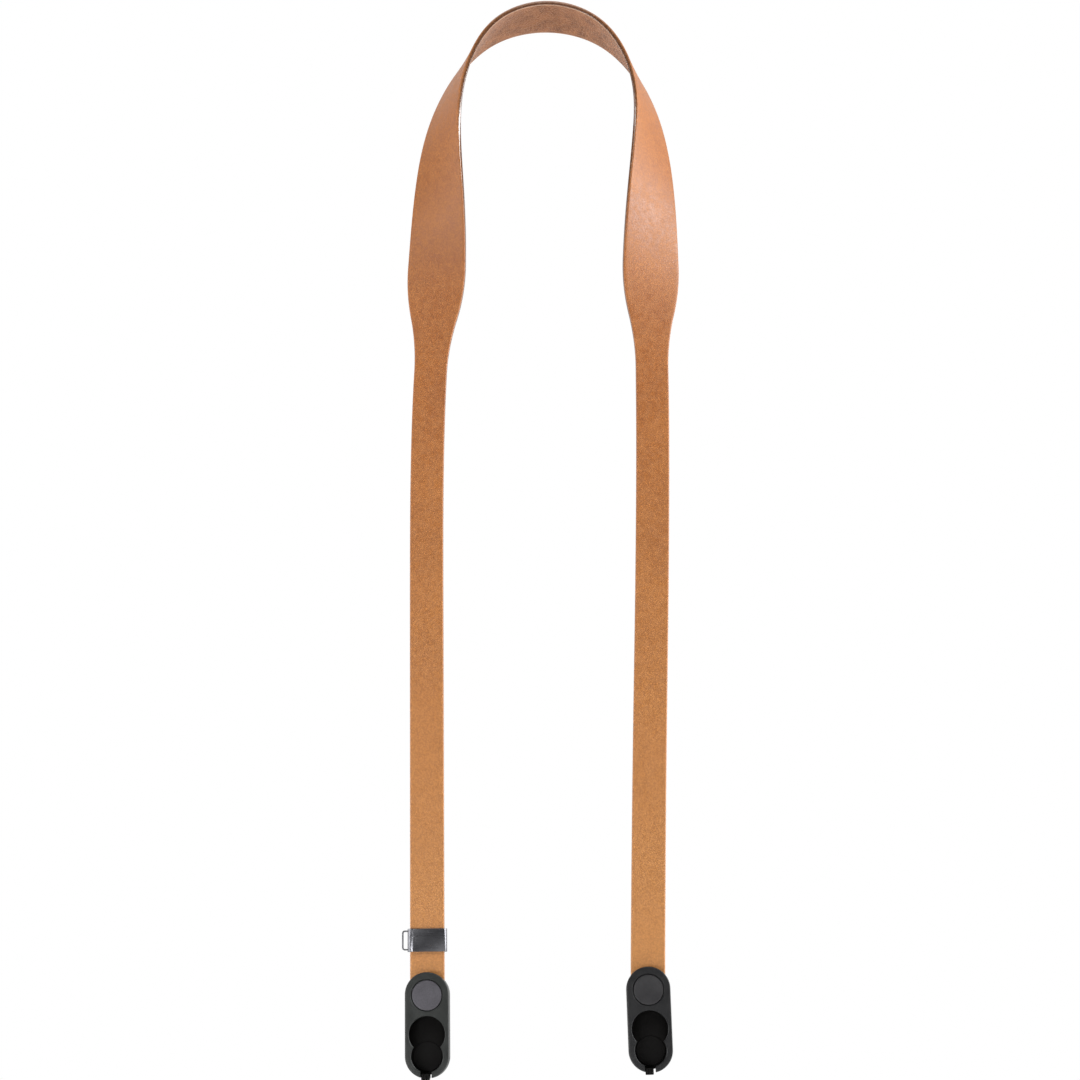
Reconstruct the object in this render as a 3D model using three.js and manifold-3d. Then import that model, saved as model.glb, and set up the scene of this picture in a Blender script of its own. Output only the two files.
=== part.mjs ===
// Camera neck strap: one leather strap hanging from its crown, with a keeper and two quick-release connectors.
// Millimetres. +Z is up, -Y faces the viewer, +X is to the right.
// The origin is the underside of the leather at the crown, where the strap lies on a neck.
import * as THREE from 'three';
import { mergeVertices } from 'three/addons/utils/BufferGeometryUtils.js';
import Module from 'manifold-3d';

const wasm = await Module();
wasm.setup();

const gap = 0.3; // running clearance between pieces

const leather = {
  thickness: 2,
  padWidth: 25.1,
  legWidth: 13.6,
  halfLength: 438.2, // from the strap's middle to each cut end
  middle: -1.2, // the strap's middle, measured along the leather from the crown
  blendCentre: 157, // the pad narrows to the leg here, measured from the middle
  blendLength: 45,
  edgeRound: 0.5,
  steps: 220,
};

// The course of the leather's centre line, from the left end over the crown to the right end: the control
// points of one smooth cubic B-spline. turn is how far the leather is turned about that line, in degrees.
const course = [
  { x: -46.5, y: -3, z: -463, turn: 88.5 },
  { x: -46.9, y: -3, z: -430, turn: 88.5 },
  { x: -47.3, y: -3, z: -397, turn: 88.5 },
  { x: -48.0, y: -3, z: -334, turn: 88.5 },
  { x: -48.7, y: -3, z: -269, turn: 88.5 },
  { x: -49.2, y: -3, z: -224, turn: 88.5 },
  { x: -49.2, y: -3, z: -192, turn: 88 },
  { x: -48.5, y: -3, z: -160, turn: 86 },
  { x: -46.5, y: -3, z: -129, turn: 81 },
  { x: -45.5, y: -3, z: -101, turn: 70 },
  { x: -45.4, y: -2.5, z: -76, turn: 54 },
  { x: -44.8, y: -1.5, z: -54, turn: 38 },
  { x: -41.4, y: -0.7, z: -35, turn: 23.5 },
  { x: -33.6, y: -0.2, z: -16.7, turn: 11.5 },
  { x: -20.9, y: 0, z: -2.6, turn: -1 },
  { x: 0, y: 0, z: 2.9, turn: -7 },
  { x: 20.7, y: 0, z: -2.8, turn: -2 },
  { x: 33.8, y: -0.2, z: -16.7, turn: 7.5 },
  { x: 41.5, y: -0.7, z: -35, turn: 18 },
  { x: 43.7, y: -1.5, z: -54, turn: 34 },
  { x: 43.8, y: -2.5, z: -76, turn: 50 },
  { x: 43.1, y: -3, z: -101, turn: 65 },
  { x: 43.0, y: -3, z: -129, turn: 76 },
  { x: 43.3, y: -3, z: -160, turn: 86 },
  { x: 43.3, y: -3, z: -192, turn: 90 },
  { x: 42.4, y: -3, z: -250, turn: 91 },
  { x: 41.0, y: -3, z: -305, turn: 91 },
  { x: 40.0, y: -3, z: -360, turn: 91 },
  { x: 39.6, y: -3, z: -388, turn: 91 },
  { x: 39.3, y: -3, z: -408, turn: 91 },
  { x: 40.1, y: -3, z: -428, turn: 91 },
  { x: 40.7, y: -3, z: -448, turn: 91 },
];
const crownRow = 15;

const housing = {
  radius: 8.6,
  top: 0.4, // the centre of its upper round end; all heights are measured from the centre of the rivet cap
  reach: 23.6, // between the centres of its two round ends
  depth: 9.5,
  chamfer: 0.8,
  lip: 1.6, // front wall round the pocket
  backWall: 1.4,
  slotBottom: -5.8,
  slotTop: 12,
  cavityRadius: 7.45,
  notchWidth: 4.4,
  notchMiddle: -0.4,
  notchTop: -27.5,
};

const pocket = [
  { name: 'entry', radius: 7.1, height: -15 },
  { name: 'seat', radius: 6.2, height: -23.3 },
];

const rivet = {
  capRadius: 5.8,
  capThickness: 1.1,
  postRadius: 2,
  postEnd: 2.9,
};

const latch = {
  radius: 7.1,
  thickness: 1,
  front: 0.45, // depth of its front face behind the middle of the leather
  seatRadius: 5.7,
  seatHeight: 0.4,
  tongueWidth: 3.1,
  tongueMiddle: -0.75,
  tongueFront: -4.2,
  tongueTop: -30,
  tongueEnd: -32.5,
  ribs: 3,
  grooveWidth: 0.45,
  grooveDepth: 0.4,
};

const keeper = {
  aboveCap: 21.5, // its middle, above the centre of the left rivet cap
  height: 9,
  wall: 0.7,
  innerCorner: 0.9,
  eyeReach: 2.2,
  eyeHeight: 7.8,
  eyeBar: 0.6,
  eyeThickness: 1,
  eyeCorner: 1.2,
};

const capFromEnd = leather.halfLength + housing.slotBottom + gap; // rivet caps, measured from the strap's middle

const finishes = {
  leather: new THREE.MeshStandardMaterial({ color: 0xb97a42, roughness: 0.55 }),
  blackPlastic: new THREE.MeshStandardMaterial({ color: 0x3c3d3c, roughness: 0.5 }),
  capPlastic: new THREE.MeshStandardMaterial({ color: 0x5b595e, roughness: 0.45 }),
  latchPlastic: new THREE.MeshStandardMaterial({ color: 0x181616, roughness: 0.5 }),
  gunmetal: new THREE.MeshStandardMaterial({ color: 0x434345, roughness: 0.35, metalness: 0.8 }),
};

// one value of the uniform cubic B-spline through four neighbouring rows
function blend(rows, key, u) {
  const [a, b, c, d] = rows.map((row) => row[key]);
  return ((1 - u) ** 3 * a + (3 * u ** 3 - 6 * u ** 2 + 4) * b
    + (-3 * u ** 3 + 3 * u ** 2 + 3 * u + 1) * c + u ** 3 * d) / 6;
}

class CentreLine extends THREE.Curve {
  constructor(rows) {
    super();
    this.rows = rows;
    this.spans = rows.length - 3;
    this.arcLengthDivisions = this.spans * 100;
  }

  at(t, key) {
    const span = Math.min(Math.floor(t * this.spans), this.spans - 1);
    return blend(this.rows.slice(span, span + 4), key, t * this.spans - span);
  }

  getPoint(t, target = new THREE.Vector3()) {
    return target.set(this.at(t, 'x'), this.at(t, 'y'), this.at(t, 'z'));
  }

  getTangent(t, target = new THREE.Vector3()) {
    const step = 0.0005;
    const before = this.getPoint(Math.max(t - step, 0));
    const after = this.getPoint(Math.min(t + step, 1));
    return target.subVectors(after, before).normalize();
  }
}

const centreLine = new CentreLine(course);
const crownAlong = centreLine.getLengths()[(crownRow - 1) * 100];

// the leather's frame at a distance from the strap's middle, plus to the right:
// along the strap, across it and out of its grain side
function frameAt(along) {
  const u = (crownAlong + leather.middle + along) / centreLine.getLength();
  const t = centreLine.getUtoTmapping(u);
  const turn = THREE.MathUtils.degToRad(centreLine.at(t, 'turn'));
  const ahead = centreLine.getTangent(t);
  const level = new THREE.Vector3(0, 1, 0);
  level.addScaledVector(ahead, -level.dot(ahead)).normalize();
  const raised = new THREE.Vector3().crossVectors(ahead, level);
  const across = level.multiplyScalar(Math.cos(turn)).addScaledVector(raised, Math.sin(turn));
  const grain = new THREE.Vector3().crossVectors(ahead, across);
  return { point: centreLine.getPoint(t), ahead, across, grain };
}

// half the leather's width at a distance from the middle: two equal arcs join the pad to the leg
function halfWidth(along) {
  const start = leather.blendCentre - leather.blendLength / 2;
  const share = THREE.MathUtils.clamp((Math.abs(along) - start) / leather.blendLength, 0, 1);
  const ease = share < 0.5 ? 2 * share ** 2 : 1 - 2 * (1 - share) ** 2;
  return THREE.MathUtils.lerp(leather.padWidth, leather.legWidth, ease) / 2;
}

function toSolid(geometry) {
  const bare = geometry.index ? geometry.toNonIndexed() : geometry.clone();
  bare.deleteAttribute('normal');
  bare.deleteAttribute('uv');
  const merged = mergeVertices(bare, 1e-4);
  const mesh = new wasm.Mesh({
    numProp: 3,
    vertProperties: Float32Array.from(merged.attributes.position.array),
    triVerts: Uint32Array.from(merged.index.array),
  });
  return new wasm.Manifold(mesh);
}

function toGeometry(solid) {
  const mesh = solid.getMesh();
  const geometry = new THREE.BufferGeometry();
  geometry.setAttribute('position', new THREE.BufferAttribute(mesh.vertProperties, 3));
  geometry.setIndex(new THREE.BufferAttribute(mesh.triVerts, 1));
  geometry.computeVertexNormals();
  return geometry;
}

// a slab whose outline is drawn as seen from the front, x to the right and y up, from depth front to depth back
function slab(shape, front, back, curveSegments = 16) {
  const geometry = new THREE.ExtrudeGeometry(shape, { depth: back - front, bevelEnabled: false, curveSegments });
  geometry.rotateX(Math.PI / 2);
  geometry.translate(0, back, 0);
  return geometry;
}

function disc(radius, height, front, back, segments = 32) {
  const geometry = new THREE.CylinderGeometry(radius, radius, back - front, segments);
  geometry.translate(0, (front + back) / 2, height);
  return geometry;
}

function block(x, y, z) {
  const geometry = new THREE.BoxGeometry(x[1] - x[0], y[1] - y[0], z[1] - z[0]);
  geometry.translate((x[0] + x[1]) / 2, (y[0] + y[1]) / 2, (z[0] + z[1]) / 2);
  return geometry;
}

// an upright outline with two round ends of one radius
function pill(radius, top, bottom) {
  const shape = new THREE.Shape();
  shape.absarc(0, top, radius, 0, Math.PI, false);
  shape.absarc(0, bottom, radius, Math.PI, Math.PI * 2, false);
  shape.closePath();
  return shape;
}

function roundedRect(left, right, bottom, top, corner) {
  const shape = new THREE.Shape();
  shape.absarc(right - corner, top - corner, corner, 0, Math.PI / 2, false);
  shape.absarc(left + corner, top - corner, corner, Math.PI / 2, Math.PI, false);
  shape.absarc(left + corner, bottom + corner, corner, Math.PI, Math.PI * 1.5, false);
  shape.absarc(right - corner, bottom + corner, corner, Math.PI * 1.5, Math.PI * 2, false);
  shape.closePath();
  return shape;
}

function makeMesh(name, geometry, material) {
  const mesh = new THREE.Mesh(geometry, material);
  mesh.name = name;
  return mesh;
}

// The strap is cut flat, as a long bar with softened edges, and each point is then carried to its place
// along the centre line. side is the side of the strap, -1 for the left end and 1 for the right end.
function makeStrap() {
  const half = leather.thickness / 2;
  const soft = leather.edgeRound;
  const section = new THREE.Shape([
    new THREE.Vector2(-1 + soft, -half),
    new THREE.Vector2(1 - soft, -half),
    new THREE.Vector2(1, -half + soft),
    new THREE.Vector2(1, half - soft),
    new THREE.Vector2(1 - soft, half),
    new THREE.Vector2(-1 + soft, half),
    new THREE.Vector2(-1, half - soft),
    new THREE.Vector2(-1, -half + soft),
  ]);
  const geometry = new THREE.ExtrudeGeometry(section, {
    depth: leather.halfLength * 2,
    steps: leather.steps,
    bevelEnabled: false,
  });
  const place = geometry.attributes.position;
  for (let i = 0; i < place.count; i += 1) {
    const along = place.getZ(i) - leather.halfLength;
    const inset = 1 - Math.abs(place.getX(i));
    const side = Math.sign(place.getX(i)) * (halfWidth(along) - inset);
    const { point, across, grain } = frameAt(along);
    point.addScaledVector(across, side).addScaledVector(grain, place.getY(i));
    place.setXYZ(i, point.x, point.y, point.z);
  }
  let solid = toSolid(geometry);
  for (const side of [-1, 1]) {
    const hole = disc(rivet.postRadius + gap, 0, -housing.depth, housing.depth, 24);
    solid = solid.subtract(toSolid(hole.applyMatrix4(connectorFrame(side, capFromEnd))));
  }
  return makeMesh('strap', toGeometry(solid), finishes.leather);
}

// where a piece sits on a leg: x to the right, y back through the leather and z up the leg,
// swivelled about its rivet by lean in degrees
function connectorFrame(side, distance, lean = 0) {
  const { point, ahead, across, grain } = frameAt(side * distance);
  const right = across.clone().multiplyScalar(side);
  const back = grain.clone().negate();
  const up = ahead.clone().multiplyScalar(-side);
  const swivel = new THREE.Matrix4().makeRotationY(THREE.MathUtils.degToRad(lean));
  return new THREE.Matrix4().makeBasis(right, back, up).setPosition(point).multiply(swivel);
}

const front = -housing.depth / 2;
const back = housing.depth / 2;
const leatherSlot = leather.thickness / 2 + gap;
const cavityBack = back - housing.backWall;

function makeHousing() {
  const { radius, top, reach, depth, chamfer } = housing;
  const body = new THREE.ExtrudeGeometry(pill(radius, top, top - reach), {
    depth: depth - 2 * chamfer,
    curveSegments: 20,
    bevelThickness: chamfer,
    bevelSize: chamfer,
    bevelOffset: -chamfer,
    bevelSegments: 2,
  });
  body.rotateX(Math.PI / 2);
  body.translate(0, back - chamfer, 0);

  const slotHalfWidth = leather.legWidth / 2 + gap;
  const capSeat = front + rivet.capThickness + gap;
  const cuts = [
    block([-slotHalfWidth, slotHalfWidth], [-leatherSlot, leatherSlot], [housing.slotBottom, housing.slotTop]),
    disc(rivet.capRadius + gap, 0, front - 1, capSeat),
    disc(rivet.postRadius + gap, 0, capSeat - 0.1, rivet.postEnd + gap, 24),
    slab(pill(housing.cavityRadius, pocket[0].height, pocket[1].height), front + housing.lip, cavityBack),
    block([housing.notchMiddle - housing.notchWidth / 2, housing.notchMiddle + housing.notchWidth / 2],
      [front - 1, cavityBack], [top - reach - radius - 1, housing.notchTop]),
  ];
  for (const circle of pocket) {
    cuts.push(disc(circle.radius, circle.height, front - 1, front + housing.lip + 0.1, 40));
  }
  return cuts.reduce((solid, cut) => solid.subtract(toSolid(cut)), toSolid(body));
}

function makeRivet() {
  const capBack = front + rivet.capThickness;
  const cap = toSolid(disc(rivet.capRadius, 0, front, capBack, 40));
  return cap.add(toSolid(disc(rivet.postRadius, 0, capBack - 0.2, rivet.postEnd, 24)));
}

function makeLatch() {
  const plateBack = latch.front + latch.thickness;
  const plate = toSolid(slab(pill(latch.radius, pocket[0].height, pocket[1].height), latch.front, plateBack));
  const seat = toSolid(disc(latch.seatRadius, pocket[1].height, latch.front - latch.seatHeight, plateBack - 0.2));
  const left = latch.tongueMiddle - latch.tongueWidth / 2;
  const right = latch.tongueMiddle + latch.tongueWidth / 2;
  const tongue = toSolid(block([left, right], [latch.tongueFront, plateBack], [latch.tongueEnd, latch.tongueTop]));
  const stem = toSolid(block([left, right], [latch.front, plateBack], [latch.tongueEnd, pocket[1].height]));
  let solid = plate.add(seat).add(stem).add(tongue);
  for (let groove = 1; groove < latch.ribs; groove += 1) {
    const middle = left + (latch.tongueWidth * groove) / latch.ribs;
    const cut = block(
      [middle - latch.grooveWidth / 2, middle + latch.grooveWidth / 2],
      [latch.tongueFront - 1, latch.tongueFront + latch.grooveDepth],
      [latch.tongueEnd - 1, latch.tongueTop + 1],
    );
    solid = solid.subtract(toSolid(cut));
  }
  return solid;
}

function makeKeeper() {
  const { wall, innerCorner, height } = keeper;
  const halfWide = leather.legWidth / 2 + gap;
  const outerWide = halfWide + wall;
  const outerDeep = leatherSlot + wall;
  const band = roundedRect(-outerWide, outerWide, -outerDeep, outerDeep, innerCorner + wall);
  band.holes.push(roundedRect(-halfWide, halfWide, -leatherSlot, leatherSlot, innerCorner));
  const sleeve = new THREE.ExtrudeGeometry(band, { depth: height, bevelEnabled: false, curveSegments: 6 });
  sleeve.translate(0, 0, -height / 2);

  const { eyeReach, eyeHeight, eyeBar, eyeThickness, eyeCorner } = keeper;
  const tip = -outerWide - eyeReach;
  const root = -outerWide + wall / 2;
  const eye = roundedRect(tip, root, -eyeHeight / 2, eyeHeight / 2, eyeCorner);
  const inside = eyeHeight / 2 - eyeBar;
  const eyeSolid = toSolid(slab(eye, -eyeThickness / 2, eyeThickness / 2, 6))
    .add(toSolid(block([root - eyeCorner, root], [-eyeThickness / 2, eyeThickness / 2], [-eyeHeight / 2, eyeHeight / 2])));
  const eyeHole = slab(
    roundedRect(tip + eyeBar, -outerWide, -inside, inside, eyeCorner - eyeBar),
    -eyeThickness,
    eyeThickness,
    6,
  );
  return toSolid(sleeve).add(eyeSolid.subtract(toSolid(eyeHole)));
}

const strap = new THREE.Group();
strap.add(makeStrap());
for (const { name, side, lean } of [{ name: 'left', side: -1, lean: 0 }, { name: 'right', side: 1, lean: -1.2 }]) {
  const connector = new THREE.Group();
  connector.applyMatrix4(connectorFrame(side, capFromEnd, lean));
  connector.add(makeMesh(`${name}_housing`, toGeometry(makeHousing()), finishes.blackPlastic));
  connector.add(makeMesh(`${name}_rivet`, toGeometry(makeRivet()), finishes.capPlastic));
  connector.add(makeMesh(`${name}_latch`, toGeometry(makeLatch()), finishes.latchPlastic));
  strap.add(connector);
}
const keeperPlace = new THREE.Group();
keeperPlace.applyMatrix4(connectorFrame(-1, capFromEnd - keeper.aboveCap));
keeperPlace.add(makeMesh('keeper', toGeometry(makeKeeper()), finishes.gunmetal));
strap.add(keeperPlace);

export default strap;
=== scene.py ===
import math

import bmesh
import bpy
import numpy as np
from mathutils import Matrix, Vector


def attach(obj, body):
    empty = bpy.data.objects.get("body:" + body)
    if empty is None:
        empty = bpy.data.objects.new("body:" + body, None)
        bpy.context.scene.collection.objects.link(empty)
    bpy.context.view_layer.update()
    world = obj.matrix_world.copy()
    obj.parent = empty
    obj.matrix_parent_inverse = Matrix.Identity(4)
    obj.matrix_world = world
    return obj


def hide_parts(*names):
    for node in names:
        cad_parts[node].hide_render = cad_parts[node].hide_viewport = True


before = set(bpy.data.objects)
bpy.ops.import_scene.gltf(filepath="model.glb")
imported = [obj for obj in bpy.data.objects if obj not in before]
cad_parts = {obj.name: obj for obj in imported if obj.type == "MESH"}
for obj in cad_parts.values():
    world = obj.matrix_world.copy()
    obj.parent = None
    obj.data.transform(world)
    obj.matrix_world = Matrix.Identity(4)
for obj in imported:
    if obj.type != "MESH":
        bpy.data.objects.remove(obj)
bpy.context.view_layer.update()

mm = 0.001  # pieces are shaped in millimetres and placed in metres


# the leather, cut flat in mm and then bent along its course

strapCut = {
    "thickness": 2.0,
    "padWidth": 25.1,
    "legWidth": 13.6,
    "halfLength": 438.2,  # from the strap's middle to each cut end
    "middle": -1.2,  # the strap's middle, along the leather from the crown
    "blendCentre": 157.0,  # where the pad narrows to the leg, from the middle
    "blendLength": 45.0,
    "edgeRound": 0.6,
    "edgeSegments": 5,
    "cellsAlong": 620,
    "cellsAcross": 14,
}

# the centre line's control points, from the left end over the crown to the right end: x, y, z in mm
# and the turn in degrees
strapCourse = np.array([
    (-46.5, -3, -463, 88.5),
    (-46.9, -3, -430, 88.5),
    (-47.3, -3, -397, 88.5),
    (-48.0, -3, -334, 88.5),
    (-48.7, -3, -269, 88.5),
    (-49.2, -3, -224, 88.5),
    (-49.2, -3, -192, 88),
    (-48.5, -3, -160, 86),
    (-46.5, -3, -129, 81),
    (-45.5, -3, -101, 70),
    (-45.4, -2.5, -76, 54),
    (-44.8, -1.5, -54, 38),
    (-41.4, -0.7, -35, 23.5),
    (-33.6, -0.2, -16.7, 11.5),
    (-20.9, 0, -2.6, -1),
    (0, 0, 2.9, -7),
    (20.7, 0, -2.8, -2),
    (33.8, -0.2, -16.7, 7.5),
    (41.5, -0.7, -35, 18),
    (43.7, -1.5, -54, 34),
    (43.8, -2.5, -76, 50),
    (43.1, -3, -101, 65),
    (43.0, -3, -129, 76),
    (43.3, -3, -160, 86),
    (43.3, -3, -192, 90),
    (42.4, -3, -250, 91),
    (41.0, -3, -305, 91),
    (40.0, -3, -360, 91),
    (39.6, -3, -388, 91),
    (39.3, -3, -408, 91),
    (40.1, -3, -428, 91),
    (40.7, -3, -448, 91),
])
crownRow = 15


def unit(vectors):
    return vectors / np.linalg.norm(vectors, axis=1)[:, None]


def splineWeights(u):
    weights = [(1 - u) ** 3, 3 * u ** 3 - 6 * u ** 2 + 4, -3 * u ** 3 + 3 * u ** 2 + 3 * u + 1, u ** 3]
    return np.stack(weights, -1) / 6


# the course in small steps: how far along the leather each step is, its place and its three directions
def walkCourse(stepsPerSpan=200):
    spans = len(strapCourse) - 3
    steps = np.arange(spans * stepsPerSpan + 1) / stepsPerSpan
    first = np.minimum(steps.astype(int), spans - 1)
    near = strapCourse[first[:, None] + np.arange(4)]
    values = np.einsum("ij,ijk->ik", splineWeights(steps - first), near)
    place, turn = values[:, :3], np.radians(values[:, 3:])
    ahead = unit(np.gradient(place, axis=0))
    backward = np.array([0.0, 1.0, 0.0])
    level = unit(backward - (ahead @ backward)[:, None] * ahead)
    across = np.cos(turn) * level + np.sin(turn) * np.cross(ahead, level)
    grain = np.cross(ahead, across)
    walked = np.concatenate([[0], np.cumsum(np.linalg.norm(np.diff(place, axis=0), axis=1))])
    along = walked - walked[(crownRow - 1) * stepsPerSpan] - strapCut["middle"]
    return along, np.hstack([place, ahead, across, grain])


courseAlong, courseFrames = walkCourse()


def framesAt(along):
    found = np.stack([np.interp(along, courseAlong, column) for column in courseFrames.T], -1)
    return found[:, :3], unit(found[:, 3:6]), unit(found[:, 6:9]), unit(found[:, 9:])


def halfWidth(along):
    cut = strapCut
    start = cut["blendCentre"] - cut["blendLength"] / 2
    share = np.clip((np.abs(along) - start) / cut["blendLength"], 0, 1)
    ease = np.where(share < 0.5, 2 * share ** 2, 1 - 2 * (1 - share) ** 2)  # two equal arcs
    return (cut["padWidth"] + (cut["legWidth"] - cut["padWidth"]) * ease) / 2


# where a fitting sits on a leg: x to the right, y back through the leather, z up the leg; mm in, metres out
def legMatrix(side, fromMiddle, lean=0.0):
    place, ahead, across, grain = (v[0] for v in framesAt(np.array([side * fromMiddle])))
    turned = Matrix(np.column_stack([side * across, -grain, -side * ahead]).tolist()).to_4x4()
    swivel = Matrix.Rotation(math.radians(lean), 4, "Y")
    return Matrix.Scale(mm, 4) @ Matrix.Translation(Vector(place)) @ turned @ swivel


# materials

def paint(code):
    channels = [int(code[i:i + 2], 16) / 255 for i in (1, 3, 5)]
    return [c / 12.92 if c <= 0.04045 else ((c + 0.055) / 1.055) ** 2.4 for c in channels] + [1.0]


def addNode(tree, kind, inputs=None, **settings):
    node = tree.nodes.new(kind)
    for name, value in settings.items():
        setattr(node, name, value)
    for name, value in (inputs or {}).items():
        if isinstance(value, bpy.types.NodeSocket):
            tree.links.new(value, node.inputs[name])
        else:
            node.inputs[name].default_value = value
    return node


def calculate(tree, operation, a, b=0.0, c=0.0, clamp=False):
    node = addNode(tree, "ShaderNodeMath", {0: a, 1: b, 2: c}, operation=operation, use_clamp=clamp)
    return node.outputs[0]


def vectorMath(tree, operation, a, b):
    return addNode(tree, "ShaderNodeVectorMath", {0: a, 1: b}, operation=operation).outputs[0]


def spread(tree, value, low, high, toLow=0.0, toHigh=1.0):
    node = addNode(tree, "ShaderNodeMapRange", {0: value, 1: low, 2: high, 3: toLow, 4: toHigh})
    return node.outputs[0]


def mixColor(tree, factor, a, b, blend="MIX"):
    node = addNode(tree, "ShaderNodeMix", {0: factor, 6: a, 7: b}, data_type="RGBA", blend_type=blend)
    return node.outputs[2]


def newGroup(name, inputs, outputs):
    tree = bpy.data.node_groups.new(name, "ShaderNodeTree")
    for label, kind, value in inputs:
        socket = tree.interface.new_socket(label, in_out="INPUT", socket_type=kind)
        if value is not None:
            socket.default_value = value
    for label, kind in outputs:
        tree.interface.new_socket(label, in_out="OUTPUT", socket_type=kind)
    return tree, tree.nodes.new("NodeGroupInput"), tree.nodes.new("NodeGroupOutput")


def groupNode(tree, group, inputs):
    return addNode(tree, "ShaderNodeGroup", inputs, node_tree=group)


# soft cloudy patches of one size in mm
def makeMottle():
    tree, given, made = newGroup(
        "mottle",
        [("Place", "NodeSocketVector", None), ("Size", "NodeSocketFloat", 10.0),
         ("Detail", "NodeSocketFloat", 3.0), ("Contrast", "NodeSocketFloat", 1.0)],
        [("Mask", "NodeSocketFloat")],
    )
    scaled = vectorMath(tree, "DIVIDE", given.outputs["Place"], given.outputs["Size"])
    cloud = addNode(tree, "ShaderNodeTexNoise", {"Vector": scaled, "Scale": 1.0, "Roughness": 0.55})
    tree.links.new(given.outputs["Detail"], cloud.inputs["Detail"])
    centred = calculate(tree, "SUBTRACT", cloud.outputs["Fac"], 0.5)
    raised = calculate(tree, "MULTIPLY", centred, given.outputs["Contrast"])
    doubled = calculate(tree, "MULTIPLY", raised, 2.5)
    tree.links.new(calculate(tree, "ADD", doubled, 0.5, clamp=True), made.inputs["Mask"])
    return tree


def cloudMask(tree, place, size, detail, contrast):
    values = {"Place": place, "Size": size, "Detail": detail, "Contrast": contrast}
    return groupNode(tree, mottle, values).outputs["Mask"]


# the fine pebbled cells and pores of a grain side
def makePores():
    tree, given, made = newGroup(
        "pores",
        [("Place", "NodeSocketVector", None), ("Size", "NodeSocketFloat", 0.8)],
        [("Height", "NodeSocketFloat"), ("Pits", "NodeSocketFloat")],
    )
    scaled = vectorMath(tree, "DIVIDE", given.outputs["Place"], given.outputs["Size"])
    stray = addNode(tree, "ShaderNodeTexNoise", {"Vector": scaled, "Scale": 0.6, "Detail": 2.0})
    pushed = vectorMath(tree, "SUBTRACT", stray.outputs["Color"], (0.5, 0.5, 0.5))
    bent = vectorMath(tree, "ADD", scaled, pushed)
    cells = addNode(tree, "ShaderNodeTexVoronoi", {"Vector": bent, "Scale": 1.0}, feature="DISTANCE_TO_EDGE")
    plump = spread(tree, cells.outputs["Distance"], 0.0, 0.28)
    fine = addNode(tree, "ShaderNodeTexNoise", {"Vector": bent, "Scale": 2.6, "Detail": 3.0})
    grit = calculate(tree, "MULTIPLY", fine.outputs["Fac"], 0.6)
    tree.links.new(calculate(tree, "ADD", plump, grit), made.inputs["Height"])
    holes = addNode(tree, "ShaderNodeTexVoronoi", {"Vector": bent, "Scale": 0.7}, feature="F1")
    tree.links.new(spread(tree, holes.outputs["Distance"], 0.16, 0.04), made.inputs["Pits"])
    return tree


# a few small dark marks, one in some of the cells of a size in mm
def makeMarks():
    tree, given, made = newGroup(
        "marks",
        [("Place", "NodeSocketVector", None), ("Size", "NodeSocketFloat", 20.0),
         ("Radius", "NodeSocketFloat", 0.03)],
        [("Mask", "NodeSocketFloat")],
    )
    scaled = vectorMath(tree, "DIVIDE", given.outputs["Place"], given.outputs["Size"])
    dots = addNode(tree, "ShaderNodeTexVoronoi", {"Vector": scaled, "Scale": 1.0}, voronoi_dimensions="2D")
    away = calculate(tree, "DIVIDE", dots.outputs["Distance"], given.outputs["Radius"])
    tree.links.new(spread(tree, away, 1.0, 0.4), made.inputs["Mask"])
    return tree


mottle, pores, marks = makeMottle(), makePores(), makeMarks()


def newMaterial(name):
    material = bpy.data.materials.new(name)
    material.use_nodes = True
    tree = material.node_tree
    shader = tree.nodes["Principled BSDF"]
    return material, tree, shader


def flatPlace(tree):
    return addNode(tree, "ShaderNodeAttribute", attribute_name="flat").outputs["Vector"]


def scaledPlace(tree, place, scale):
    return addNode(tree, "ShaderNodeMapping", {"Vector": place, "Scale": scale}).outputs["Vector"]


def objectPlace(tree):
    metres = addNode(tree, "ShaderNodeTexCoord").outputs["Object"]
    return scaledPlace(tree, metres, (1000, 1000, 1000))


def bumpFrom(tree, height, strength, distance):
    values = {"Height": height, "Strength": strength, "Distance": distance * mm}
    return addNode(tree, "ShaderNodeBump", values).outputs["Normal"]


grainLook = {
    "tan": "#a5601b",
    "deep": "#975414",
    "light": "#b06d28",
    "paleEnd": "#c28644",
    "mark": "#6a4020",
    "speckle": "#c9bdb2",  # what the fine speckle multiplies the colour by
    "speckleShare": 0.5,
    "driftSize": 24.0,
    "patchSize": 2.2,
    "speckleSize": 0.75,
    "cellSize": 0.85,
    "markSpacing": 34.0,
    "markRadius": 0.012,  # as a share of the spacing
    "markShare": 0.6,
    "pitShare": 0.2,
    "paleFrom": 190.0,  # from the strap's middle
    "paleTo": 440.0,
    "paleShare": 0.75,
    "roughness": (0.45, 0.57),
    "shine": 0.9,
}


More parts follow.
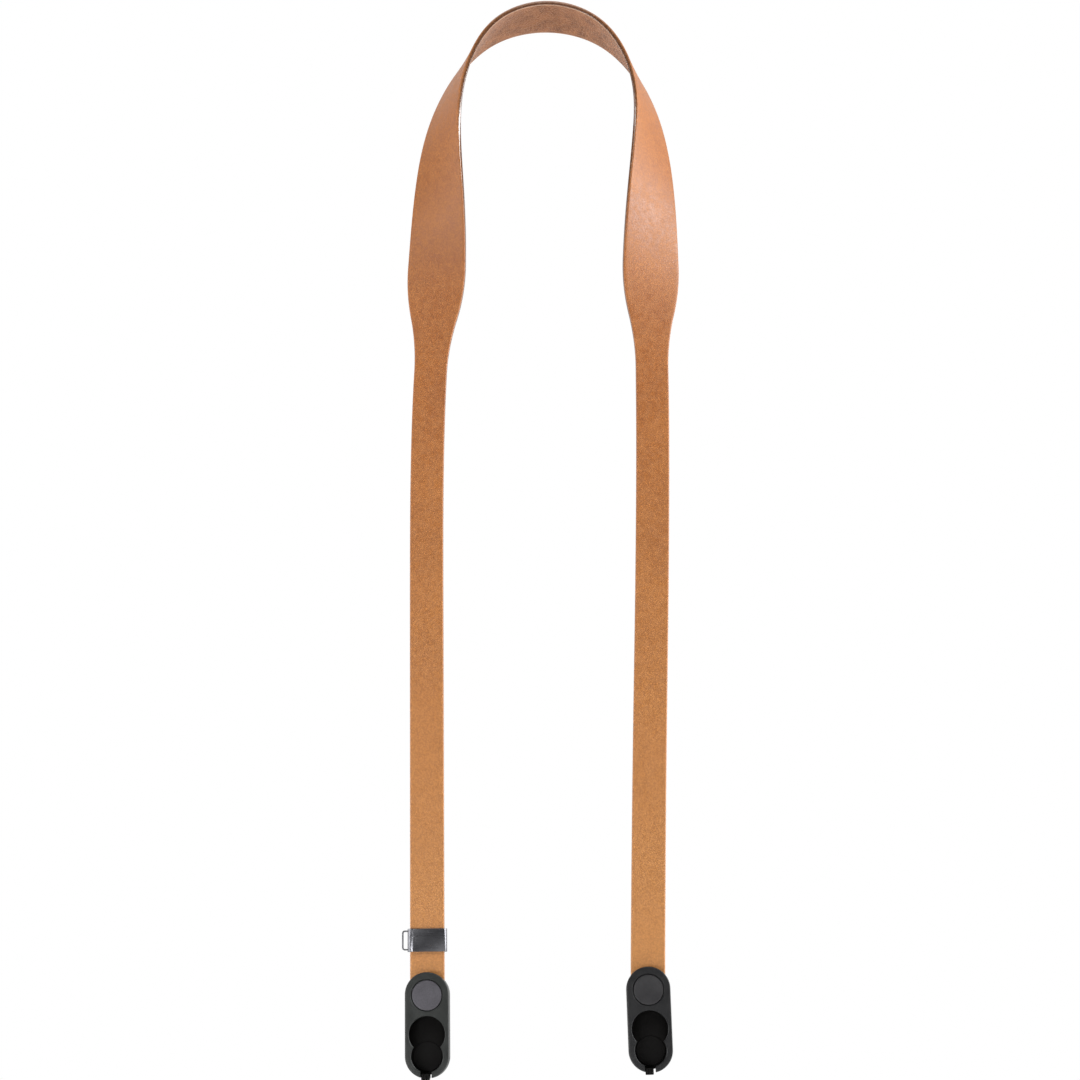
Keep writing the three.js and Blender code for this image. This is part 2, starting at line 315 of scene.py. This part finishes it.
# the smooth tan grain side: cloudy drift, fine speckle and cells, a few marks, paler towards the ends
def makeGrainLeather():
    look = grainLook
    material, tree, shader = newMaterial("grainLeather")
    place = flatPlace(tree)
    wide = cloudMask(tree, place, look["driftSize"], 3.0, 1.1)
    small = cloudMask(tree, place, look["patchSize"], 4.0, 1.3)
    speckle = cloudMask(tree, place, look["speckleSize"], 2.0, 1.5)
    skin = groupNode(tree, pores, {"Place": place, "Size": look["cellSize"]})
    color = mixColor(tree, wide, paint(look["deep"]), paint(look["tan"]))
    color = mixColor(tree, calculate(tree, "MULTIPLY", small, 0.45), color, paint(look["light"]))
    # the colour turns paler along the strap towards both cut ends
    parts = addNode(tree, "ShaderNodeSeparateXYZ", {0: place})
    reach = calculate(tree, "ABSOLUTE", parts.outputs["X"])
    paleEnd = spread(tree, reach, look["paleFrom"], look["paleTo"], 0.0, look["paleShare"])
    color = mixColor(tree, paleEnd, color, paint(look["paleEnd"]))
    darker = mixColor(tree, 1.0, color, paint(look["speckle"]), "MULTIPLY")
    color = mixColor(tree, calculate(tree, "MULTIPLY", speckle, look["speckleShare"]), color, darker)
    dots = groupNode(tree, marks, {"Place": place, "Size": look["markSpacing"], "Radius": look["markRadius"]})
    for mask, share in ((dots.outputs["Mask"], look["markShare"]), (skin.outputs["Pits"], look["pitShare"])):
        color = mixColor(tree, calculate(tree, "MULTIPLY", mask, share), color, paint(look["mark"]))
    tree.links.new(color, shader.inputs["Base Color"])
    tree.links.new(spread(tree, small, 0.0, 1.0, *look["roughness"]), shader.inputs["Roughness"])
    shader.inputs["Specular IOR Level"].default_value = look["shine"]
    soft = bumpFrom(tree, wide, 0.25, 0.25)
    fine = addNode(
        tree, "ShaderNodeBump",
        {"Height": skin.outputs["Height"], "Strength": 0.4, "Distance": 0.05 * mm, "Normal": soft})
    tree.links.new(fine.outputs["Normal"], shader.inputs["Normal"])
    return material


suedeLook = {
    "rosy": "#99623e",
    "deep": "#704329",
    "pale": "#b2815b",
    "rim": "#e2c3aa",
    "rimWidth": 0.4,
    "rimFade": 0.6,
    "rimShare": 0.4,
    "patchSize": 6.0,
    "napSize": 0.8,
    "roughness": 0.95,
    "shine": 0.15,
    "sheen": 0.25,
}


# the napped flesh side, with a pale rim beside the cut edge
def makeSuedeLeather():
    look = suedeLook
    material, tree, shader = newMaterial("suedeLeather")
    place = flatPlace(tree)
    patch = cloudMask(tree, place, look["patchSize"], 5.0, 1.4)
    nap = cloudMask(tree, place, look["napSize"], 4.0, 1.6)
    color = mixColor(tree, patch, paint(look["deep"]), paint(look["rosy"]))
    color = mixColor(tree, calculate(tree, "MULTIPLY", nap, 0.5), color, paint(look["pale"]))
    inward = addNode(tree, "ShaderNodeAttribute", attribute_name="inward").outputs["Fac"]
    faded = look["rimWidth"] + look["rimFade"]
    beside = spread(tree, inward, faded, look["rimWidth"], 0.0, look["rimShare"])
    color = mixColor(tree, beside, color, paint(look["rim"]))
    tree.links.new(color, shader.inputs["Base Color"])
    shader.inputs["Roughness"].default_value = look["roughness"]
    shader.inputs["Specular IOR Level"].default_value = look["shine"]
    shader.inputs["Sheen Weight"].default_value = look["sheen"]
    shader.inputs["Sheen Roughness"].default_value = 0.5
    tree.links.new(bumpFrom(tree, nap, 0.7, 0.14), shader.inputs["Normal"])
    return material


edgeLook = {
    "dark": "#552f14",
    "brown": "#875a37",
    "streakSize": 1.4,
    "roughness": (0.16, 0.28),
    "shine": 1.0,
}


# the burnished cut edge: waxy brown, with painted shade darkening it beside the flesh side and browner
# towards the grain side
def makeBurnishedEdge():
    look = edgeLook
    material, tree, shader = newMaterial("burnishedEdge")
    place = flatPlace(tree)
    streak = cloudMask(tree, place, look["streakSize"], 4.0, 1.3)
    depth = addNode(tree, "ShaderNodeSeparateXYZ", {0: place}).outputs["Z"]
    # painted shade: the edge's own brown is darkened towards the flesh side
    uneven = calculate(tree, "MULTIPLY_ADD", streak, 0.5, depth)
    color = mixColor(tree, spread(tree, uneven, -0.2, 1.2), paint(look["dark"]), paint(look["brown"]))
    tree.links.new(color, shader.inputs["Base Color"])
    tree.links.new(spread(tree, streak, 0.0, 1.0, *look["roughness"]), shader.inputs["Roughness"])
    shader.inputs["Specular IOR Level"].default_value = look["shine"]
    tree.links.new(bumpFrom(tree, streak, 0.25, 0.05), shader.inputs["Normal"])
    return material


# moulded plastic with a fine spark texture of a size in mm; each material made from it has its own colours
def makePlastic(name, base, pale, roughness, texture, shine):
    material, tree, shader = newMaterial(name)
    place = objectPlace(tree)
    cloud = cloudMask(tree, place, 6.0, 4.0, 1.0)
    spark = cloudMask(tree, place, texture, 2.0, 1.5)
    both = calculate(tree, "MULTIPLY", calculate(tree, "ADD", cloud, spark), 0.5)
    tree.links.new(mixColor(tree, both, paint(base), paint(pale)), shader.inputs["Base Color"])
    uneven = spread(tree, cloud, 0.0, 1.0, roughness - 0.05, roughness + 0.08)
    tree.links.new(uneven, shader.inputs["Roughness"])
    tree.links.new(bumpFrom(tree, spark, 0.25, 0.02), shader.inputs["Normal"])
    shader.inputs["Specular IOR Level"].default_value = shine
    return material


gunmetalLook = {
    "dark": "#6b6b6f",
    "pale": "#77777b",
    "brushScale": (0.12, 0.12, 6.0),  # long round the band, short up it
    "cloudSize": 4.0,
    "roughness": (0.27, 0.33),
}


# dark coated metal, brushed very lightly round the band
def makeGunmetal():
    look = gunmetalLook
    material, tree, shader = newMaterial("gunmetalCoat")
    place = objectPlace(tree)
    brush = cloudMask(tree, scaledPlace(tree, place, look["brushScale"]), 1.0, 3.0, 1.2)
    cloud = cloudMask(tree, place, look["cloudSize"], 3.0, 1.0)
    color = mixColor(tree, cloud, paint(look["dark"]), paint(look["pale"]))
    tree.links.new(color, shader.inputs["Base Color"])
    shader.inputs["Metallic"].default_value = 1.0
    tree.links.new(spread(tree, brush, 0.0, 1.0, *look["roughness"]), shader.inputs["Roughness"])
    tree.links.new(bumpFrom(tree, brush, 0.05, 0.004), shader.inputs["Normal"])
    return material


grainLeather, suedeLeather, burnishedEdge = makeGrainLeather(), makeSuedeLeather(), makeBurnishedEdge()
# colours, roughness, texture size and shine; the two shells are one plastic, painted paler on the left as
# painted light and darker on the right as painted shade
shellPlasticsLitAndShaded = {
    "left": makePlastic("litCharcoalPlastic", "#212322", "#2f3130", 0.4, 0.22, 0.35),
    "right": makePlastic("shadedCharcoalPlastic", "#18181a", "#242425", 0.4, 0.22, 0.3),
}
# the two caps are one plastic too, painted paler on the left as painted light and darker on the right as
# painted shade
capPlasticsLitAndShaded = {
    "left": makePlastic("litCapPlastic", "#434146", "#535157", 0.42, 0.5, 0.4),
    "right": makePlastic("shadedCapPlastic", "#252426", "#323133", 0.4, 0.5, 0.4),
}
# painted shade: the latch's own black plastic is darkened to near black, standing in for the shade inside the
# pocket
shadedLatchMaterial = makePlastic("shadedLatchPlastic", "#080707", "#0e0c0b", 0.65, 0.22, 0.15)
gunmetal = makeGunmetal()
print("materials done")


# mesh helpers

def newPiece(name, bm, materials, body, node, matrix=None):
    if matrix:
        bmesh.ops.transform(bm, matrix=matrix, verts=bm.verts)
    mesh = bpy.data.meshes.new(name)
    bm.to_mesh(mesh)
    bm.free()
    for material in materials:
        mesh.materials.append(material)
    piece = bpy.data.objects.new(name, mesh)
    bpy.context.scene.collection.objects.link(piece)
    if body:
        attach(piece, body)
        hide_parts(node)
    return piece


def vertsOf(result):
    return [item for item in result["geom"] if isinstance(item, bmesh.types.BMVert)]


def shadeByAngle(bm, degrees=32):
    for face in bm.faces:
        face.smooth = True
    for edge in bm.edges:
        edge.smooth = len(edge.link_faces) == 2 and edge.calc_face_angle() < math.radians(degrees)


# a rounded rectangle drawn in XY round the origin and extruded up Z; corners are (left, right) radii
def roundedPrism(width, height, corners, length, wall=0.0, segments=16):
    bm = bmesh.new()
    bmesh.ops.create_grid(bm, x_segments=1, y_segments=1, size=0.5)
    bmesh.ops.scale(bm, vec=(width, height, 1), verts=bm.verts)
    for sign, radius in zip((-1, 1), corners):
        picked = [v for v in bm.verts if v.co.x * sign > 0 and abs(abs(v.co.y) - height / 2) < 1e-4
                  and abs(abs(v.co.x) - width / 2) < 1e-4]
        bmesh.ops.bevel(
            bm, geom=picked, offset=radius, offset_type="OFFSET", affect="VERTICES", segments=segments,
            profile=0.5, material=-1, clamp_overlap=False)
    bmesh.ops.remove_doubles(bm, verts=bm.verts, dist=0.002)
    if wall:
        bmesh.ops.inset_region(
            bm, faces=bm.faces[:], thickness=wall, use_boundary=True, use_even_offset=True)
        middle = min(bm.faces, key=lambda f: f.calc_center_median().length)
        bmesh.ops.delete(bm, geom=[middle], context="FACES_ONLY")
    raised = bmesh.ops.extrude_face_region(bm, geom=bm.faces[:])
    bmesh.ops.translate(bm, vec=(0, 0, length), verts=vertsOf(raised))
    bmesh.ops.recalc_face_normals(bm, faces=bm.faces[:])
    return bm


# turns a prism so that it ends at depth back, with its drawing upright round the given middle
def standUp(bm, back, middle=(0, 0)):
    bmesh.ops.rotate(bm, cent=(0, 0, 0), matrix=Matrix.Rotation(math.radians(90), 3, "X"), verts=bm.verts)
    bmesh.ops.translate(bm, vec=(middle[0], back, middle[1]), verts=bm.verts)
    return bm


def uprightPlate(width, height, corners, front, back, middle=(0, 0), wall=0.0, segments=16):
    return standUp(roundedPrism(width, height, corners, back - front, wall, segments), back, middle)


# a pill standing upright between two centres
def uprightPill(radius, top, bottom, front, back, segments=28):
    height, middle = top - bottom + 2 * radius, (0, (top + bottom) / 2)
    return uprightPlate(2 * radius, height, (radius, radius), front, back, middle, 0.0, segments)


# a round part from its profile of (radius, depth) points, spun about an axis that runs back at a height
def turned(profile, height, steps=64):
    bm = bmesh.new()
    corners = [bm.verts.new((radius, depth, 0)) for radius, depth in profile]
    edges = [bm.edges.new(pair) for pair in zip(corners, corners[1:])]
    bmesh.ops.spin(
        bm, geom=corners + edges, cent=(0, 0, 0), axis=(0, 1, 0), dvec=(0, 0, 0), angle=2 * math.pi,
        steps=steps, use_merge=True)
    bmesh.ops.remove_doubles(bm, verts=bm.verts, dist=1e-4)
    bmesh.ops.recalc_face_normals(bm, faces=bm.faces[:])
    bmesh.ops.translate(bm, vec=(0, 0, height), verts=bm.verts)
    return bm


# bevels the edges that pass a test, or all sharp ones
def softenEdges(bm, width, segments=2, test=None, degrees=40):
    sharp = [e for e in bm.edges if len(e.link_faces) == 2 and e.calc_face_angle() > math.radians(degrees)
             and (test is None or test(e))]
    bmesh.ops.bevel(
        bm, geom=sharp, offset=width, offset_type="OFFSET", affect="EDGES", segments=segments, profile=0.5,
        material=-1, clamp_overlap=True)


# cuts tools out of a body, or joins them to it, and returns the result as a bmesh
def combine(bm, tools, operation="DIFFERENCE"):
    body = newPiece("blank", bm, [], None, None)
    helpers = [newPiece("tool", tool, [], None, None) for tool in tools]
    for helper in helpers:
        modifier = body.modifiers.new("cut", "BOOLEAN")
        modifier.operation, modifier.solver, modifier.object = operation, "EXACT", helper
    shaped = body.evaluated_get(bpy.context.evaluated_depsgraph_get()).to_mesh()
    result = bmesh.new()
    result.from_mesh(shaped)
    for used in [body, *helpers]:
        bpy.data.objects.remove(used)
    bmesh.ops.remove_doubles(result, verts=result.verts, dist=0.002)
    return result


# the strap

def makeStrap():
    cut = strapCut
    bm = bmesh.new()
    flat = bm.verts.layers.float_vector.new("flat")
    inward = bm.verts.layers.float.new("inward")
    bmesh.ops.create_grid(bm, x_segments=cut["cellsAlong"], y_segments=cut["cellsAcross"], size=1)
    bmesh.ops.scale(bm, vec=(cut["halfLength"], 1, 1), verts=bm.verts)
    for vert in bm.verts:
        vert.co.y *= float(halfWidth(vert.co.x))
    raised = bmesh.ops.extrude_face_region(bm, geom=bm.faces[:])
    bmesh.ops.translate(bm, vec=(0, 0, cut["thickness"]), verts=vertsOf(raised))
    bmesh.ops.translate(bm, vec=(0, 0, -cut["thickness"] / 2), verts=bm.verts)
    bmesh.ops.recalc_face_normals(bm, faces=bm.faces[:])
    softenEdges(bm, cut["edgeRound"], cut["edgeSegments"])
    bm.normal_update()
    for face in bm.faces:
        face.smooth = True
        face.material_index = 0 if face.normal.z > 0.3 else 1 if face.normal.z < -0.8 else 2
    for vert in bm.verts:
        vert[flat] = vert.co
        vert[inward] = float(halfWidth(vert.co.x)) - abs(vert.co.y)
    layout = np.array([vert.co for vert in bm.verts])
    place, ahead, across, grain = framesAt(layout[:, 0])
    bent = (place + across * layout[:, 1:2] + grain * layout[:, 2:]) * mm
    for vert, co in zip(bm.verts, bent):
        vert.co = co
    newPiece("leather_strap", bm, [grainLeather, suedeLeather, burnishedEdge], "root", "strap")


# the connectors: heights are from the centre of the rivet cap, depths from the middle of the leather

housingShape = {
    "radius": 8.6,
    "top": 0.4,  # the centre of its upper round end
    "reach": 23.6,  # between the centres of its two round ends
    "front": -4.75,
    "back": 4.75,
    "rimRound": 0.55,
    "lip": 1.6,
    "backWall": 1.4,
    "slotBottom": -5.8,
    "slotTop": 12.0,
    "clearance": 0.3,
    "postHoleEnd": 3.2,
    "cavityRadius": 7.45,
    "notchWidth": 4.4,
    "notchMiddle": -0.4,
    "notchTop": -27.5,
    "slitMiddle": 1.3,  # beside the tongue, open right through the bottom rim
    "slitWidth": 0.95,
    "slitTop": -30.1,
    "mouthChamfer": 0.28,
}
pocketCircles = ((7.1, -15.0), (6.2, -23.3))  # radius and height
capShape = {"radius": 5.8, "thickness": 1.1, "rim": 0.22, "dish": 0.1, "postRadius": 2.0, "postEnd": 2.9}
latchShape = {
    "radius": 7.1,
    "front": 0.45,
    "thickness": 1.0,
    "seatRadius": 5.7,
    "seatHeight": 0.4,
    "tongueWidth": 3.1,
    "tongueMiddle": -0.75,
    "tongueFront": -4.2,
    "tongueTop": -30.0,
    "tongueEnd": -32.5,
    "ribs": 3,
    "grooveRadius": 0.26,
    "plateRound": 0.2,
    "seatRound": 0.15,
    "tongueRound": 0.18,
}


# a tool that leaves a round hole with a chamfered mouth at the front face
def chamferedBit(radius, height, depth):
    front, chamfer, above = housingShape["front"], housingShape["mouthChamfer"], 0.5
    profile = [(0, front - above), (radius + chamfer + above, front - above), (radius, front + chamfer),
               (radius, depth), (0, depth)]
    return turned(profile, height, 72)


def makeHousing(side, matrix):
    shape = housingShape
    front, back, gap = shape["front"], shape["back"], shape["clearance"]
    bottom = shape["top"] - shape["reach"]
    shell = uprightPill(shape["radius"], shape["top"], bottom, front, back)
    softenEdges(shell, shape["rimRound"], 5)
    capSeat = front + capShape["thickness"] + gap
    slotWidth, slotDepth = strapCut["legWidth"] + 2 * gap, strapCut["thickness"] + 2 * gap
    slotHeight = shape["slotTop"] - shape["slotBottom"]
    slotMiddle = (0, shape["slotBottom"] + slotHeight / 2)
    notchBottom = bottom - shape["radius"] - 1
    notchHeight = shape["notchTop"] - notchBottom
    slitHeight = shape["slitTop"] - notchBottom
    postHole = capShape["postRadius"] + gap
    tools = [
        uprightPlate(slotWidth, slotHeight, (0.4, 0.4), -slotDepth / 2, slotDepth / 2, slotMiddle, 0.0, 4),
        chamferedBit(capShape["radius"] + gap, 0, capSeat),
        turned([(0, 0), (postHole, 0), (postHole, shape["postHoleEnd"]), (0, shape["postHoleEnd"])], 0, 32),
        uprightPill(shape["cavityRadius"], pocketCircles[0][1], pocketCircles[1][1], front + shape["lip"],
                    back - shape["backWall"]),
        uprightPlate(shape["notchWidth"], notchHeight, (0.5, 0.5), front - 1, back - shape["backWall"],
                     (shape["notchMiddle"], notchBottom + notchHeight / 2), 0.0, 6),
        uprightPlate(shape["slitWidth"], slitHeight, (0.2, 0.2), 0, back + 1,
                     (shape["slitMiddle"], notchBottom + slitHeight / 2), 0.0, 3),
    ]
    for radius, height in pocketCircles:
        tools.append(chamferedBit(radius, height, front + shape["lip"] + 0.1))
    shell = combine(shell, tools)
    shadeByAngle(shell)
    shellMaterials = [shellPlasticsLitAndShaded[side]]
    newPiece(f"{side}_connector_shell", shell, shellMaterials, "root", f"{side}_housing", matrix)


def makeCap(side, matrix):
    shape = capShape
    front = housingShape["front"]
    radius, rim, dish, back = shape["radius"], shape["rim"], shape["dish"], front + shape["thickness"]
    post, postEnd = shape["postRadius"], shape["postEnd"]
    profile = [(0, front + dish), (radius * 0.5, front + dish * 0.8), (radius - rim * 3, front + dish * 0.4),
               (radius - rim, front), (radius - rim * 0.3, front + rim * 0.3), (radius, front + rim),
               (radius, back), (post, back), (post, postEnd), (0, postEnd)]
    cap = turned(profile, 0, 72)
    shadeByAngle(cap)
    newPiece(f"{side}_rivet_cap", cap, [capPlasticsLitAndShaded[side]], "root", f"{side}_rivet", matrix)


def makeLatch(side, matrix):
    shape = latchShape
    plateBack = shape["front"] + shape["thickness"]
    top, bottom = pocketCircles[0][1], pocketCircles[1][1]
    plate = uprightPill(shape["radius"], top, bottom, shape["front"], plateBack)
    softenEdges(plate, shape["plateRound"], 2)
    seatFront = shape["front"] - shape["seatHeight"]
    seatBack, seatRadius, rounding = plateBack - shape["plateRound"], shape["seatRadius"], shape["seatRound"]
    seat = turned([(0, seatFront), (seatRadius - rounding, seatFront), (seatRadius, seatFront + rounding),
                   (seatRadius, seatBack), (0, seatBack)], bottom, 64)
    height = bottom - shape["tongueEnd"]
    stem = uprightPlate(shape["tongueWidth"], height, (0.2, 0.2), shape["front"], plateBack,
                        (shape["tongueMiddle"], bottom - height / 2), 0.0, 3)
    tongueHeight = shape["tongueTop"] - shape["tongueEnd"]
    tongue = uprightPlate(shape["tongueWidth"], tongueHeight, (0.3, 0.3), shape["tongueFront"], plateBack,
                          (shape["tongueMiddle"], shape["tongueEnd"] + tongueHeight / 2), 0.0, 4)
    nearFront = shape["tongueFront"] + 0.01
    softenEdges(tongue, shape["tongueRound"], 2, lambda e: all(v.co.y < nearFront for v in e.verts))
    latch = combine(plate, [seat, stem, tongue], "UNION")
    grooves, radius = [], shape["grooveRadius"]
    for number in range(1, shape["ribs"]):
        across = shape["tongueMiddle"] + shape["tongueWidth"] * (number / shape["ribs"] - 0.5)
        groove = bmesh.new()
        bmesh.ops.create_cone(
            groove, cap_ends=True, segments=16, radius1=radius, radius2=radius, depth=6,
            matrix=Matrix.Translation((across, shape["tongueFront"], shape["tongueTop"] - 1)))
        grooves.append(groove)
    latch = combine(latch, grooves)
    shadeByAngle(latch)
    body = f"{side}_latch"
    newPiece(f"{side}_latch_plate", latch, [shadedLatchMaterial], body, body, matrix)


# the keeper

keeperShape = {
    "aboveCap": 21.5,
    "height": 9.0,
    "wall": 0.7,
    "bend": 1.95,
    "leftStretch": 1.35,  # how much wider than deep each bend is
    "rightStretch": 0.7,
    "rimRound": 0.14,
    "eyeReach": 2.2,
    "eyeHeight": 7.8,
    "eyeBar": 0.6,
    "eyeThickness": 1.0,
    "eyeCorners": (1.1, 0.75),  # the second pair is hidden in the band
    "eyeRound": 0.26,
}


def makeKeeper(matrix):
    shape = keeperShape
    clearance, wall, height = housingShape["clearance"], shape["wall"], shape["height"]
    width = strapCut["legWidth"] + 2 * (clearance + wall)
    depth = strapCut["thickness"] + 2 * (clearance + wall)
    band = roundedPrism(width, depth, (shape["bend"], shape["bend"]), height, wall, 12)
    bmesh.ops.translate(band, vec=(0, 0, -height / 2), verts=band.verts)
    for sign, stretch in ((-1, shape["leftStretch"]), (1, shape["rightStretch"])):
        bent = [v for v in band.verts if v.co.x * sign > width / 2 - shape["bend"] - 1e-3]
        outside = Matrix.Translation((-sign * width / 2, 0, 0))
        bmesh.ops.scale(band, vec=(stretch, 1, 1), space=outside, verts=bent)
    softenEdges(band, shape["rimRound"], 3, lambda e: abs(abs(e.verts[0].co.z) - height / 2) < 1e-3
                and abs(e.verts[0].co.z - e.verts[1].co.z) < 1e-3)
    eyeWidth = shape["eyeReach"] + wall
    middle = -width / 2 - shape["eyeReach"] + eyeWidth / 2
    thick = shape["eyeThickness"] / 2
    eye = uprightPlate(
        eyeWidth, shape["eyeHeight"], shape["eyeCorners"], -thick, thick, (middle, 0), shape["eyeBar"], 8)
    softenEdges(eye, shape["eyeRound"], 3, lambda e: abs(abs(e.verts[0].co.y) - thick) < 1e-3
                and abs(e.verts[0].co.y - e.verts[1].co.y) < 1e-3)
    keeper = combine(band, [eye], "UNION")
    shadeByAngle(keeper)
    newPiece("keeper_band", keeper, [gunmetal], "keeper", "keeper", matrix)


makeStrap()
print("strap done")
capFromMiddle = strapCut["halfLength"] + housingShape["slotBottom"] + housingShape["clearance"]
for side, sign, lean in (("left", -1, 0.0), ("right", 1, -1.2)):
    seat = legMatrix(sign, capFromMiddle, lean)
    makeHousing(side, seat)
    makeCap(side, seat)
    makeLatch(side, seat)
    print(side, "connector done")
makeKeeper(legMatrix(-1, capFromMiddle - keeperShape["aboveCap"]))
print("keeper done")


# floor, light and camera

studio = {
    "floorHeight": -0.65,
    "floorSize": 20.0,
    "behind": 1.0,  # the white sweep behind the object, as it lights it
    "frontLow": 0.24,  # the darker studio in front, towards the floor and higher up
    "frontHigh": 0.12,
    "frontRise": (-0.1, 0.3),  # over which heights of the sky the front darkens
    "sweepFade": (-0.05, 0.5),  # over which depths of the sky it turns to the sweep
    "camera": (-0.003, -1.0, -0.43),
    "pitch": 101.5,
    "lens": 83.33,
}
# name, place, what it points at and size, all in metres, and power in watts
lamps = (
    ("rightStrip", (1.38, -0.56, 0.4), (0.04, 0, -0.1), (0.35, 0.9), 20.0),
    ("leftStrip", (-1.22, -0.88, 0.4), (-0.05, 0, -0.13), (0.3, 0.9), 5.0),
    ("leftPanel", (-1.15, -0.1, -0.3), (-0.05, 0, -0.4), (0.5, 0.55), 5.0),
    ("rightPanel", (1.15, 0.1, -0.3), (0.04, 0, -0.4), (0.5, 0.55), 9.0),
    ("lowPanel", (-0.62, -0.85, -0.55), (-0.05, 0, -0.36), (0.4, 0.14), 2.4),
    ("topSoftbox", (0.1, -1.0, 1.35), (0, 0, -0.2), (1.4, 1.0), 12.0),
)


def makeFloor():
    bm = bmesh.new()
    bmesh.ops.create_grid(bm, x_segments=4, y_segments=4, size=studio["floorSize"] / 2)
    bmesh.ops.translate(bm, vec=(0, 0, studio["floorHeight"]), verts=bm.verts)
    material, tree, shader = newMaterial("palePaper")
    cloud = cloudMask(tree, objectPlace(tree), 400.0, 3.0, 1.0)
    tree.links.new(mixColor(tree, cloud, paint("#f2f2f0"), paint("#f6f6f4")), shader.inputs["Base Color"])
    shader.inputs["Roughness"].default_value = 0.9
    newPiece("floor", bm, [material], None, None)


# white to the camera; to the object it is a white sweep behind and a darker studio in front
def makeWorld():
    world = bpy.data.worlds.new("whiteRoom")
    world.use_nodes = True
    tree = world.node_tree
    sky = addNode(tree, "ShaderNodeTexCoord").outputs["Generated"]
    way = addNode(tree, "ShaderNodeSeparateXYZ", {0: sky})
    front = spread(tree, way.outputs["Z"], *studio["frontRise"], studio["frontLow"], studio["frontHigh"])
    lit = spread(tree, way.outputs["Y"], *studio["sweepFade"], front, studio["behind"])
    shown = addNode(tree, "ShaderNodeLightPath").outputs["Is Camera Ray"]
    strength = spread(tree, shown, 0.0, 1.0, lit, 1.0)
    tree.nodes["Background"].inputs["Color"].default_value = (1, 1, 1, 1)
    tree.links.new(strength, tree.nodes["Background"].inputs["Strength"])
    bpy.context.scene.world = world


def makeLamps():
    for name, place, target, size, power in lamps:
        light = bpy.data.lights.new(name, "AREA")
        light.shape, light.size, light.size_y, light.energy = "RECTANGLE", size[0], size[1], power
        lamp = bpy.data.objects.new(name, light)
        lamp.location = place
        lamp.rotation_euler = (Vector(target) - Vector(place)).to_track_quat("-Z", "Y").to_euler()
        bpy.context.scene.collection.objects.link(lamp)


def makeCamera():
    data = bpy.data.cameras.new("photoCamera")
    data.lens, data.sensor_width, data.sensor_fit = studio["lens"], 36.0, "HORIZONTAL"
    camera = bpy.data.objects.new("photoCamera", data)
    camera.location = studio["camera"]
    camera.rotation_euler = (math.radians(studio["pitch"]), 0, 0)
    bpy.context.scene.collection.objects.link(camera)
    bpy.context.scene.camera = camera


makeFloor()
makeWorld()
makeLamps()
makeCamera()
bpy.context.scene.view_settings.view_transform = "Standard"
print("studio done")
